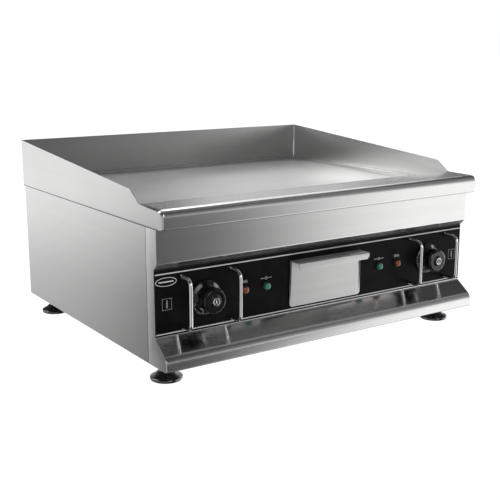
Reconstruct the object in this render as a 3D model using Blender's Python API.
"""Counter-top electric griddle: folded steel body, splash hood, flat plate, two heating zones.

Every piece is a child of the body datum, whose origin is on the body's underside, midway between
the sides and level with the front edge: +X right, +Y back, +Z up, in metres.
"""

import math

import bmesh
import bpy
from mathutils import Vector

# --- Driving dimensions -----------------------------------------------------------------------
FOOT_HEIGHT = 0.035
GAP = 0.0003  # between pieces that touch
SHEET = 0.0012  # stainless sheet of the body and hood

HOOD_HALF = 0.350  # hood, from the centre to its outer side
HOOD_BACK = 0.5964
HOOD_BOTTOM = 0.2308
LEDGE_TOP = 0.2636
LEDGE_BACK = 0.077
NOSE_RADIUS = 0.012
SPLASH_BACK_TOP = 0.3228
SPLASH_FRONT = (0.108, 0.284)  # where the sloping side top meets the front chamfer
PAN_TOP = 0.2457  # the strip round the plate

BODY_HALF = 0.3484
BODY_BACK = 0.5918
BODY_TOP = 0.240  # inside the hood
CHEEK_BACK = 0.0592  # seam between the front cheek and the side panel

APRON_Y = 0.0239
APRON_BOTTOM = 0.1738
PANEL_Y = 0.0339
PANEL_TOP = 0.1616
PANEL_BOTTOM = 0.0491
BUMPER_Y = -0.0021
BUMPER_TOP = 0.0217
OVERLAY = 0.0008
FASCIA_Y = PANEL_Y + OVERLAY + GAP  # the sheet that carries the overlay

KNOB_X = 0.2535
KNOB_Z = 0.104
KNOB_REACH = 0.036
SKIRT_RADIUS = 0.030
SPINDLE_RADIUS = 0.003
GUARD_XS = (-0.301, -0.206, 0.206, 0.301)
GUARD_NAMES = ("left_outer", "left_inner", "right_inner", "right_outer")
GUARD_ROD = 0.003
GUARD_REACH = 0.035
GUARD_ZS = (0.062, 0.147)
GUARD_BEND = 0.011
LAMPS = (
    ("lamp_heat_left", -0.1755), ("lamp_power_left", -0.130),
    ("lamp_power_right", 0.130), ("lamp_heat_right", 0.1755),
)
LAMP_Z = 0.105
LENS_RADIUS = 0.0065
BEZEL_RADIUS = 0.009

DRAWER_HALF = 0.080
DRAWER_ZS = (0.060, 0.142)
DRAWER_Y = 0.0309
LIP_Y = 0.006
LIP_DROP = 0.011
OPENING_HALF = 0.076  # the fascia's drawer opening
OPENING_ZS = (0.062, 0.138)
TRAY_HALF = 0.071
TRAY_ZS = (0.066, 0.126)
TRAY_BACK = 0.310

PLATE_HALF = 0.334
PLATE_YS = (0.1195, 0.580)
PLATE_TOPS = (0.2375, 0.2420)  # front and back edges: it drains forward
PLATE_THICK = 0.008
RIM_INNER = 0.3315
RIM_BACK = 0.577
GUTTER_YS = (0.0773, 0.1227)
GUTTER_FLOOR = 0.205
DRAIN_RADIUS = 0.012

FOOT_X = 0.313
FOOT_YS = (0.064, 0.545)
FOOT_RADIUS = 0.028
STUD_RADIUS = 0.004
GLAND_AT = (0.250, 0.050)
GLAND_END = 0.618

# The overall depth runs from the guards to the cable gland, and the model is centred on it.
DEPTH_MIDDLE = (PANEL_Y - GUARD_REACH - GUARD_ROD + GLAND_END) / 2
SLOPE = math.atan2(PLATE_TOPS[1] - PLATE_TOPS[0], PLATE_YS[1] - PLATE_YS[0])

MATERIALS = {  # colour, metallic, roughness
    "stainless": ((0.62, 0.62, 0.61), 1.0, 0.30),
    "griddle_steel": ((0.52, 0.52, 0.51), 1.0, 0.38),
    "bright_steel": ((0.75, 0.75, 0.75), 1.0, 0.12),
    "black_panel": ((0.012, 0.012, 0.013), 0.0, 0.30),
    "black_plastic": ((0.010, 0.010, 0.011), 0.0, 0.38),
    "lens_green": ((0.03, 0.17, 0.11), 0.0, 0.22),
    "lens_orange": ((0.42, 0.10, 0.03), 0.0, 0.22),
    "ceramic_wool": ((0.72, 0.68, 0.58), 0.0, 0.90),
    "copper": ((0.60, 0.33, 0.22), 1.0, 0.30),
    "terminal_plastic": ((0.75, 0.73, 0.68), 0.0, 0.50),
}


# --- Helpers ----------------------------------------------------------------------------------
def clear_scene():
    for thing in list(bpy.data.objects):
        bpy.data.objects.remove(thing)


def material(name):
    if name in bpy.data.materials:
        return bpy.data.materials[name]
    colour, metallic, roughness = MATERIALS[name]
    made = bpy.data.materials.new(name)
    made.use_nodes = True
    shader = made.node_tree.nodes["Principled BSDF"]
    shader.inputs["Base Color"].default_value = (*colour, 1)
    shader.inputs["Metallic"].default_value = metallic
    shader.inputs["Roughness"].default_value = roughness
    return made


def empty(name, location, parent=None, tilt=0.0):
    made = bpy.data.objects.new(name, None)
    made.location = location
    made.rotation_euler.x = tilt
    made.parent = parent
    bpy.context.scene.collection.objects.link(made)
    return made


def add(name, mesh, look, parent, at=(0, 0, 0)):
    made = bpy.data.objects.new(name, mesh)
    made.location = at
    made.parent = parent
    mesh.materials.append(material(look))
    bpy.context.scene.collection.objects.link(made)
    return made


def mesh_of(bm, name, smooth=False):
    bmesh.ops.recalc_face_normals(bm, faces=bm.faces)
    mesh = bpy.data.meshes.new(name)
    bm.to_mesh(mesh)
    bm.free()
    if smooth:
        mesh.shade_smooth()
        mesh.set_sharp_from_angle(angle=math.radians(35))
    return mesh


def prism(name, outline, low, high, axis):
    """An outline in the two other axes, in X, Y, Z order, drawn out from low to high along axis."""
    def point(pair, along):
        values = list(pair)
        values.insert("XYZ".index(axis), along)
        return values

    bm = bmesh.new()
    ends = [[bm.verts.new(point(pair, along)) for pair in outline] for along in (low, high)]
    for end in ends:
        bm.faces.new(end)
    for index in range(len(outline)):
        after = (index + 1) % len(outline)
        bm.faces.new((ends[0][index], ends[0][after], ends[1][after], ends[1][index]))
    return mesh_of(bm, name)


def box(name, low, high):
    """A box between two opposite corners."""
    outline = [(low[0], low[1]), (high[0], low[1]), (high[0], high[1]), (low[0], high[1])]
    return prism(name, outline, low[2], high[2], "Z")


def folded(path, thickness):
    """The closed outline of a sheet whose outer face follows path; it thickens to path's left."""
    points = [Vector(point) for point in path]
    inner = []
    for index, point in enumerate(points):
        sides = []
        if index > 0:
            sides.append((point - points[index - 1]).normalized())
        if index < len(points) - 1:
            sides.append((points[index + 1] - point).normalized())
        normals = [Vector((-side.y, side.x)) for side in sides]
        bisector = sum(normals, Vector((0, 0))).normalized()
        inner.append(point + bisector * thickness / bisector.dot(normals[0]))
    return [tuple(point) for point in points + inner[::-1]]


def arc(centre, radius, start, end, steps):
    """Points on a circle, from start to end degrees."""
    turns = [math.radians(start + (end - start) * step / steps) for step in range(steps + 1)]
    return [(centre[0] + radius * math.cos(a), centre[1] + radius * math.sin(a)) for a in turns]


def rounded(corners, reach, steps=5):
    """A path through corners, each bend eased over reach on both sides."""
    corners = [Vector(corner) for corner in corners]
    points = [corners[0]]
    for before, corner, after in zip(corners, corners[1:], corners[2:]):
        start = corner + (before - corner).normalized() * reach
        end = corner + (after - corner).normalized() * reach
        for step in range(steps + 1):
            share = step / steps
            points.append(start.lerp(corner, share).lerp(corner.lerp(end, share), share))
    return points + [corners[-1]]


def turned(name, profile, segments, wave=None):
    """A profile of (radius, height) turned about Z; wave(radius, angle) scales the radius."""
    bm = bmesh.new()
    rings = []
    for radius, height in profile:
        if radius == 0:
            rings.append([bm.verts.new((0, 0, height))])
            continue
        ring = []
        for step in range(segments):
            angle = math.tau * step / segments
            scale = wave(radius, angle) if wave else 1
            ring.append(bm.verts.new((
                radius * scale * math.cos(angle), radius * scale * math.sin(angle), height)))
        rings.append(ring)
    for lower, upper in zip(rings, rings[1:]):
        for step in range(segments):
            after = (step + 1) % segments
            corners = [lower[step % len(lower)], lower[after % len(lower)],
                       upper[after % len(upper)], upper[step % len(upper)]]
            bm.faces.new(list(dict.fromkeys(corners)))
    return mesh_of(bm, name, smooth=True)


def turned_closed(name, profile, segments):
    """A ring: a closed profile of (radius, height) turned about Z."""
    bm = bmesh.new()
    rings = [[bm.verts.new((radius * math.cos(math.tau * step / segments),
                            radius * math.sin(math.tau * step / segments), height))
              for step in range(segments)] for radius, height in profile]
    for index, lower in enumerate(rings):
        upper = rings[(index + 1) % len(rings)]
        for step in range(segments):
            after = (step + 1) % segments
            bm.faces.new((lower[step], lower[after], upper[after], upper[step]))
    return mesh_of(bm, name, smooth=True)


def rod(name, points, radius, look, parent, sides_level=2, radii=None):
    """A round bar along points, with closed ends."""
    curve = bpy.data.curves.new(name, "CURVE")
    curve.dimensions = "3D"
    curve.bevel_depth = radius
    curve.bevel_resolution = sides_level
    curve.use_fill_caps = True
    curve.resolution_u = 1
    spline = curve.splines.new("POLY")
    spline.points.add(len(points) - 1)
    for index, point in enumerate(points):
        spline.points[index].co = (*point, 1)
        spline.points[index].radius = radii[index] if radii else 1
    return add(name, curve, look, parent)


def face_forward(thing):
    """Turns a piece made about Z so that its +Z points to the front, -Y."""
    thing.rotation_euler.x = math.pi / 2
    return thing


def hide_cutter(cutter):
    cutter.hide_render = True
    cutter.display_type = "WIRE"
    return cutter


def cut(target, cutters):
    for number, cutter in enumerate(cutters):
        modifier = target.modifiers.new(f"cut_{number}", "BOOLEAN")
        modifier.object = hide_cutter(cutter)


def hole_y(name, radius, at, depth=0.02, segments=16):
    """A round cutter along Y, centred on at."""
    profile = [(0, -depth), (radius, -depth), (radius, depth), (0, depth)]
    return face_forward(add(name, turned(name, profile, segments), "black_plastic", BODY, at))


def hole_z(name, radius, at, depth=0.02, segments=16, parent=None):
    """A round cutter along Z, centred on at."""
    profile = [(0, -depth), (radius, -depth), (radius, depth), (0, depth)]
    return add(name, turned(name, profile, segments), "black_plastic", parent or BODY, at)


def plate_top_at(y):
    """Height of the plate's sloping face."""
    share = (y - PLATE_YS[0]) / (PLATE_YS[1] - PLATE_YS[0])
    return PLATE_TOPS[0] + share * (PLATE_TOPS[1] - PLATE_TOPS[0])


# --- Hood and plate ---------------------------------------------------------------------------
def nose_curve(steps):
    """The bullnose, from the ledge down to the front face."""
    return arc((NOSE_RADIUS, LEDGE_TOP - NOSE_RADIUS), NOSE_RADIUS, 90, 180, steps)


def make_splashes():
    corner = 0.005
    outline = nose_curve(5)
    outline += arc((corner, HOOD_BOTTOM + corner), corner, 180, 270, 3)
    outline += arc((HOOD_BACK - corner, HOOD_BOTTOM + corner), corner, 270, 360, 3)
    outline += [(HOOD_BACK, SPLASH_BACK_TOP), SPLASH_FRONT, (LEDGE_BACK, LEDGE_TOP)]
    for name, side in (("splash_left", -1), ("splash_right", 1)):
        mesh = prism(name, outline, side * (HOOD_HALF - SHEET), side * HOOD_HALF, "X")
        add(name, mesh, "stainless", BODY)
    reach = HOOD_HALF - SHEET - GAP
    back = box("splash_back", (-reach, HOOD_BACK - SHEET, HOOD_BOTTOM),
               (reach, HOOD_BACK, SPLASH_BACK_TOP))
    add("splash_back", back, "stainless", BODY)


def make_nose():
    path = [(LEDGE_BACK, PAN_TOP + GAP), (LEDGE_BACK, LEDGE_TOP)]
    path += nose_curve(6)
    path += [(0, HOOD_BOTTOM), (APRON_Y - 2 * GAP, HOOD_BOTTOM)]
    reach = HOOD_HALF - SHEET - GAP
    add("front_nose", prism("front_nose", folded(path, SHEET), -reach, reach, "X"), "stainless", BODY)


def make_rim():
    """An angle section led round three sides, its flange ending just over the sloping plate."""
    outer_x = HOOD_HALF - SHEET - GAP
    outer_back = HOOD_BACK - SHEET - GAP
    front = LEDGE_BACK + 0.003

    def section(outer, inner):
        foot = plate_top_at(inner[1]) + GAP
        behind = tuple(i + SHEET * sign for i, sign in zip(inner, toward))
        return [(*outer, PAN_TOP), (*inner, PAN_TOP), (*inner, foot), (*behind, foot),
                (*behind, PAN_TOP - SHEET), (*outer, PAN_TOP - SHEET)]

    bm = bmesh.new()
    rings = []
    for side, stations in ((-1, (0, 1)), (1, (1, 0))):
        for at_back in stations:
            toward = (side, 1 if at_back else 0)
            outer = (side * outer_x, outer_back if at_back else front)
            inner = (side * RIM_INNER, RIM_BACK if at_back else front)
            rings.append([bm.verts.new(point) for point in section(outer, inner)])
    bm.faces.new(rings[0])
    bm.faces.new(rings[-1])
    for first, second in zip(rings, rings[1:]):
        for index in range(6):
            after = (index + 1) % 6
            bm.faces.new((first[index], first[after], second[after], second[index]))
    add("plate_rim", mesh_of(bm, "plate_rim"), "stainless", BODY)


def make_plate():
    depth = (PLATE_YS[1] - PLATE_YS[0]) / math.cos(SLOPE)
    plate = add("griddle_plate", box("griddle_plate", (-PLATE_HALF, 0, -PLATE_THICK),
                                     (PLATE_HALF, depth, 0)), "griddle_steel", PLATE)
    bevel = plate.modifiers.new("eased_edges", "BEVEL")
    bevel.width = 0.001
    bevel.segments = 2


def make_gutter():
    half = RIM_INNER - 0.001
    low_y, high_y = GUTTER_YS
    back_top = plate_top_at(PLATE_YS[0]) - PLATE_THICK - 2 * GAP
    front_top = PAN_TOP - GAP
    section = [(low_y, GUTTER_FLOOR), (high_y, GUTTER_FLOOR), (high_y, back_top),
               (PLATE_YS[0] - GAP * 2, back_top), (PLATE_YS[0] - GAP * 2, front_top - 0.012),
               (low_y + 0.01, front_top), (low_y, front_top)]
    gutter = add("grease_gutter", prism("grease_gutter", section, -half, half, "X"),
                 "stainless", BODY)
    hollow = add("cutter_gutter", box(
        "cutter_gutter", (-half + SHEET, low_y + SHEET, GUTTER_FLOOR + SHEET),
        (half - SHEET, high_y - SHEET, PAN_TOP + 0.02)), "stainless", BODY)
    middle = ((low_y + high_y) / 2)
    cut(gutter, [hollow, hole_z("cutter_drain", DRAIN_RADIUS, (0, middle, GUTTER_FLOOR), 0.01)])
    ring = [(DRAIN_RADIUS, -0.075), (DRAIN_RADIUS + SHEET, -0.075),
            (DRAIN_RADIUS + SHEET, -0.003), (DRAIN_RADIUS + 0.006, -GAP), (DRAIN_RADIUS, -GAP)]
    add("drain_spout", turned_closed("drain_spout", ring, 16), "stainless", BODY,
        (0, middle, GUTTER_FLOOR))


# --- Heating ----------------------------------------------------------------------------------
def element_path(side):
    """A bar folded in six runs under one half of the plate, in the plate's frame."""
    runs = 6
    pitch = 0.050
    radius = pitch / 2
    near, far = 0.060, 0.400
    points = []
    for run in range(runs):
        x = side * (0.040 + pitch * run)
        ends = (near, far) if run % 2 == 0 else (far, near)
        points += [(x, y) for y in ends]
        if run < runs - 1:
            sign = 1 if run % 2 == 0 else -1
            centre = (x + side * radius, ends[1])
            points += [(centre[0] - side * radius * math.cos(math.radians(a)),
                        centre[1] + sign * radius * math.sin(math.radians(a)))
                       for a in (30, 60, 90, 120, 150)]
    return points


def make_heating():
    bar = 0.004
    level = -PLATE_THICK - bar - 2 * GAP
    for name, side in (("heating_element_left", -1), ("heating_element_right", 1)):
        points = [(x, y, level) for x, y in element_path(side)]
        rod(name, points, bar, "griddle_steel", PLATE, sides_level=2)
    clamp_top = level - bar - GAP
    for name, y in (("element_clamp_front", 0.130), ("element_clamp_back", 0.300)):
        strip = box(name, (-0.315, y, clamp_top - 0.004), (0.315, y + 0.025, clamp_top))
        add(name, strip, "griddle_steel", PLATE)
    wool_top = clamp_top - 0.006
    add("insulation", box("insulation", (-0.318, 0.014, wool_top - 0.018), (0.318, 0.448, wool_top)),
        "ceramic_wool", PLATE)
    shield = add("heat_shield", box("heat_shield", (-0.322, 0.010, wool_top - 0.020),
                                    (0.322, 0.452, clamp_top - 0.003)), "stainless", PLATE)
    hollow = add("cutter_shield", box("cutter_shield", (-0.321, 0.011, wool_top - 0.019),
                                      (0.321, 0.451, clamp_top + 0.01)), "stainless", PLATE)
    cut(shield, [hollow])


# --- Front --------------------------------------------------------------------------------------
def front_profile(panel_y):
    """The front's outline from the apron down to the bumper, with the panel at panel_y."""
    return [(APRON_Y, BODY_TOP), (APRON_Y, APRON_BOTTOM), (panel_y, PANEL_TOP),
            (panel_y, PANEL_BOTTOM), (BUMPER_Y, BUMPER_TOP), (BUMPER_Y, 0)]


def panel_holes(prefix):
    """Cutters for the spindles, lamps, guards and drawer."""
    cutters = []
    for side in (-1, 1):
        cutters.append(hole_y(f"{prefix}_spindle_{side}", 0.006, (side * KNOB_X, PANEL_Y, KNOB_Z)))
    for name, x in LAMPS:
        cutters.append(hole_y(f"{prefix}_{name}", LENS_RADIUS, (x, PANEL_Y, LAMP_Z)))
    for x in GUARD_XS:
        for z in GUARD_ZS:
            cutters.append(hole_y(f"{prefix}_guard_{x}_{z}", GUARD_ROD + GAP, (x, PANEL_Y, z),
                                  segments=12))
    drawer = box(f"{prefix}_drawer", (-OPENING_HALF, 0.01, OPENING_ZS[0]),
                 (OPENING_HALF, 0.06, OPENING_ZS[1]))
    cutters.append(add(f"{prefix}_drawer", drawer, "black_plastic", BODY))
    return cutters


def make_front():
    path = front_profile(FASCIA_Y) + [(0.015, 0)]
    reach = BODY_HALF - SHEET - GAP
    fascia = prism("front_fascia", folded(path, SHEET), -reach, reach, "X")
    cut(add("front_fascia", fascia, "stainless", BODY), panel_holes("cutter_fascia"))
    overlay = box("control_overlay", (-reach, PANEL_Y, PANEL_BOTTOM + 0.001),
                  (reach, PANEL_Y + OVERLAY, PANEL_TOP - 0.001))
    cut(add("control_overlay", overlay, "black_panel", BODY), panel_holes("cutter_overlay"))
    outline = front_profile(PANEL_Y) + [(CHEEK_BACK, 0), (CHEEK_BACK, BODY_TOP)]
    for name, side in (("front_cheek_left", -1), ("front_cheek_right", 1)):
        mesh = prism(name, outline, side * (BODY_HALF - SHEET), side * BODY_HALF, "X")
        add(name, mesh, "stainless", BODY)


def guard_path(x):
    """A flat U: a leg out of the panel, up along the front, and back in."""
    front = PANEL_Y - GUARD_REACH
    behind = FASCIA_Y + SHEET + 0.004
    low, high = GUARD_ZS
    return rounded([(x, behind, low), (x, front, low), (x, front, high), (x, behind, high)],
                   GUARD_BEND)


def make_guards():
    for name, x in zip(GUARD_NAMES, GUARD_XS):
        rod(f"guard_{name}", guard_path(x), GUARD_ROD, "bright_steel", BODY, sides_level=3)


def make_lamps():
    for name, x in LAMPS:
        look = "lens_green" if "power" in name else "lens_orange"
        holder = [(0, -0.024), (LENS_RADIUS - 0.0006, -0.024), (LENS_RADIUS - 0.0006, GAP),
                  (BEZEL_RADIUS, GAP), (BEZEL_RADIUS, 0.0018), (LENS_RADIUS + 0.0009, 0.0024),
                  (LENS_RADIUS + 0.0009, 0.0012), (0, 0.0012)]
        lens = [(0, 0.0015), (LENS_RADIUS, 0.0015), (LENS_RADIUS, 0.0050),
                (LENS_RADIUS * 0.9, 0.0066), (LENS_RADIUS * 0.6, 0.0076), (0, 0.0080)]
        at = (x, PANEL_Y, LAMP_Z)
        face_forward(add(f"{name}_body", turned(f"{name}_body", holder, 20), "black_plastic",
                         BODY, at))
        face_forward(add(f"{name}_lens", turned(f"{name}_lens", lens, 20), look, BODY, at))


# --- Controls -----------------------------------------------------------------------------------
def grip_wave(radius, angle):
    """Eight finger flutes round the grip, none on the skirt, the bore or the nose."""
    if not 0.0165 < radius < 0.0200:
        return 1
    return 1 - 0.07 * (0.5 + 0.5 * math.cos(8 * angle)) ** 2


def make_knobs():
    bore = SPINDLE_RADIUS + GAP
    seat = 0.0066 + GAP
    knob = [(0, 0.0250), (bore, 0.0250), (bore, 0.0030), (0.0260, 0.0030), (0.0260, 0.0014),
            (SKIRT_RADIUS, 0.0014), (SKIRT_RADIUS, 0.0030), (0.0285, 0.0050),
            (0.0215, 0.0075), (0.0195, 0.0095), (0.0188, 0.0300), (0.0170, 0.0335),
            (0.0140, 0.0350), (seat, 0.0350), (seat, 0.0338), (0, 0.0338)]
    cap = [(0, 0.0338 + GAP), (seat - GAP, 0.0338 + GAP), (seat - GAP, 0.0356),
           (seat - 0.0008, KNOB_REACH), (0, KNOB_REACH)]
    shaft = [(0, -0.020), (SPINDLE_RADIUS, -0.020), (SPINDLE_RADIUS, 0.0245), (0, 0.0245)]
    for name, side in (("left", -1), ("right", 1)):
        axis = empty(f"knob_axis_{name}", (side * KNOB_X, PANEL_Y, KNOB_Z), BODY)
        face_forward(add(f"knob_{name}", turned(f"knob_{name}", knob, 48, grip_wave),
                         "black_plastic", axis))
        face_forward(add(f"knob_cap_{name}", turned(f"knob_cap_{name}", cap, 24),
                         "bright_steel", axis))
        face_forward(add(f"spindle_{name}", turned(f"spindle_{name}", shaft, 16),
                         "bright_steel", axis))


def make_thermostats():
    """Each switch sits behind its knob; its sensor's bulb lies under the plate."""
    depth = 0.034
    front = FASCIA_Y + SHEET + GAP
    riser_y = (GUTTER_YS[1] + PLATE_YS[0] + 0.010) / 2  # between the gutter and the heat shield
    bulb_x = 0.265
    bulb = 0.003
    thin = 0.4
    for name, side in (("left", -1), ("right", 1)):
        x = side * KNOB_X
        case = box(f"thermostat_{name}", (x - 0.020, front, KNOB_Z - 0.018),
                   (x + 0.020, front + depth, KNOB_Z + 0.018))
        body = add(f"thermostat_{name}", case, "terminal_plastic", BODY)
        cut(body, [hole_y(f"cutter_thermostat_{name}", SPINDLE_RADIUS + GAP,
                          (x, PANEL_Y, KNOB_Z), depth=0.0205)])

        def under_plate(y):
            return (side * bulb_x, y, plate_top_at(y) - PLATE_THICK - bulb - 2 * GAP)

        path = rounded([(x, front + depth + GAP, KNOB_Z), (x, riser_y, KNOB_Z + 0.010),
                        (side * bulb_x, riser_y, KNOB_Z + 0.080),
                        under_plate(riser_y), under_plate(0.215)], 0.008, 4)
        radii = [thin] * len(path) + [1, 1]
        path += [under_plate(0.220), under_plate(0.330)]
        rod(f"sensor_{name}", path, bulb, "copper", BODY, sides_level=2, radii=radii)


def make_drawer():
    low_z, high_z = DRAWER_ZS
    slide = empty("drawer_slide_axis", (0, 0, 0), BODY)
    back = PANEL_Y - 0.0004
    outline = [(back, low_z), (back, high_z), (LIP_Y, high_z), (LIP_Y, high_z - LIP_DROP),
               (LIP_Y + SHEET, high_z - LIP_DROP), (LIP_Y + SHEET, high_z - SHEET),
               (DRAWER_Y, high_z - SHEET), (DRAWER_Y, low_z)]
    add("drawer_front", prism("drawer_front", outline, -DRAWER_HALF, DRAWER_HALF, "X"),
        "stainless", slide)
    low = (-TRAY_HALF, back + GAP, TRAY_ZS[0])
    high = (TRAY_HALF, TRAY_BACK, TRAY_ZS[1])
    tray = add("drawer_tray", box("drawer_tray", low, high), "stainless", slide)
    wall = 0.001
    hollow = box("cutter_tray", (low[0] + wall, low[1] + wall, low[2] + wall),
                 (high[0] - wall, high[1] - wall, high[2] + 0.01))
    cut(tray, [add("cutter_tray", hollow, "stainless", slide)])
    for name, side in (("left", -1), ("right", 1)):
        shelf = TRAY_ZS[0] - GAP
        section = [(0.060, shelf), (0.0735, shelf), (0.0735, shelf + 0.014),
                   (0.0747, shelf + 0.014), (0.0747, 0.0042), (0.090, 0.0042), (0.090, 0.003),
                   (0.0735, 0.003), (0.0735, shelf - SHEET), (0.060, shelf - SHEET)]
        section = [(side * x, z) for x, z in section]
        runner = prism(f"drawer_runner_{name}", section, FASCIA_Y + 0.003, TRAY_BACK + 0.01, "Y")
        add(f"drawer_runner_{name}", runner, "stainless", BODY)


# --- Body ---------------------------------------------------------------------------------------
def make_body():
    for name, side in (("side_panel_left", -1), ("side_panel_right", 1)):
        outline = [(CHEEK_BACK + GAP, 0), (BODY_BACK, 0), (BODY_BACK, BODY_TOP),
                   (CHEEK_BACK + GAP, BODY_TOP)]
        mesh = prism(name, outline, side * (BODY_HALF - SHEET), side * BODY_HALF, "X")
        add(name, mesh, "stainless", BODY)
    reach = BODY_HALF - SHEET - GAP
    back = add("back_panel", box("back_panel", (-reach, BODY_BACK - SHEET, 0),
                                 (reach, BODY_BACK, BODY_TOP)), "stainless", BODY)
    gland_at = (GLAND_AT[0], BODY_BACK, GLAND_AT[1])
    cut(back, [hole_y("cutter_gland", 0.0100, gland_at, segments=20)])
    base = add("base_plate", box("base_plate", (-reach, 0.0155, 0.0015),
                                 (reach, BODY_BACK - SHEET - GAP, 0.0027)), "stainless", BODY)
    cut(base, [hole_z(f"cutter_foot_{x}_{y}", STUD_RADIUS + 0.0003, (x, y, 0), 0.01, 12)
               for x in (-FOOT_X, FOOT_X) for y in FOOT_YS])


def make_feet():
    pad = [(0, -FOOT_HEIGHT), (FOOT_RADIUS - 0.001, -FOOT_HEIGHT),
           (FOOT_RADIUS, -FOOT_HEIGHT + 0.001), (FOOT_RADIUS, -FOOT_HEIGHT + 0.0045),
           (FOOT_RADIUS - 0.0015, -FOOT_HEIGHT + 0.006), (0.020, -FOOT_HEIGHT + 0.0095),
           (0.0125, -FOOT_HEIGHT + 0.0165), (0.0105, -0.010), (0.0115, -0.0015),
           (STUD_RADIUS + GAP, -0.0015), (STUD_RADIUS + GAP, -0.012), (0, -0.012)]
    stud = [(0, -0.0115), (STUD_RADIUS, -0.0115), (STUD_RADIUS, 0.024), (0.003, 0.025), (0, 0.025)]
    for side_name, x in (("left", -FOOT_X), ("right", FOOT_X)):
        for end_name, y in zip(("front", "back"), FOOT_YS):
            name = f"{end_name}_{side_name}"
            axis = empty(f"foot_axis_{name}", (x, y, 0), BODY)
            add(f"foot_pad_{name}", turned(f"foot_pad_{name}", pad, 28), "black_plastic", axis)
            add(f"foot_stud_{name}", turned(f"foot_stud_{name}", stud, 12), "bright_steel", axis)


def make_supply():
    x, z = GLAND_AT
    reach = GLAND_END - BODY_BACK
    ring = [(0.005, -0.014), (0.0094, -0.014), (0.0094, GAP), (0.0135, GAP), (0.0135, 0.006),
            (0.0125, 0.0065), (0.0125, 0.016), (0.0085, reach), (0.005, reach)]
    gland = add("cable_gland", turned_closed("cable_gland", ring, 20), "black_plastic", BODY,
                (x, BODY_BACK, z))
    gland.rotation_euler.x = -math.pi / 2
    block = add("terminal_block", box("terminal_block", (0.18, 0.520, 0.003), (0.26, 0.546, 0.028)),
                "terminal_plastic", BODY)
    screws = [hole_z(f"cutter_screw_{number}", 0.003, (0.188 + 0.016 * number, 0.533, 0.028), 0.008,
                     10) for number in range(5)]
    cut(block, screws)


clear_scene()
BODY = empty("body_datum", (0, -DEPTH_MIDDLE, FOOT_HEIGHT))
PLATE = empty("plate_datum", (0, PLATE_YS[0], PLATE_TOPS[0]), BODY, SLOPE)
make_splashes()
make_nose()
make_rim()
make_plate()
make_gutter()
make_heating()
make_front()
make_guards()
make_lamps()
make_knobs()
make_thermostats()
make_drawer()
make_body()
make_feet()
make_supply()
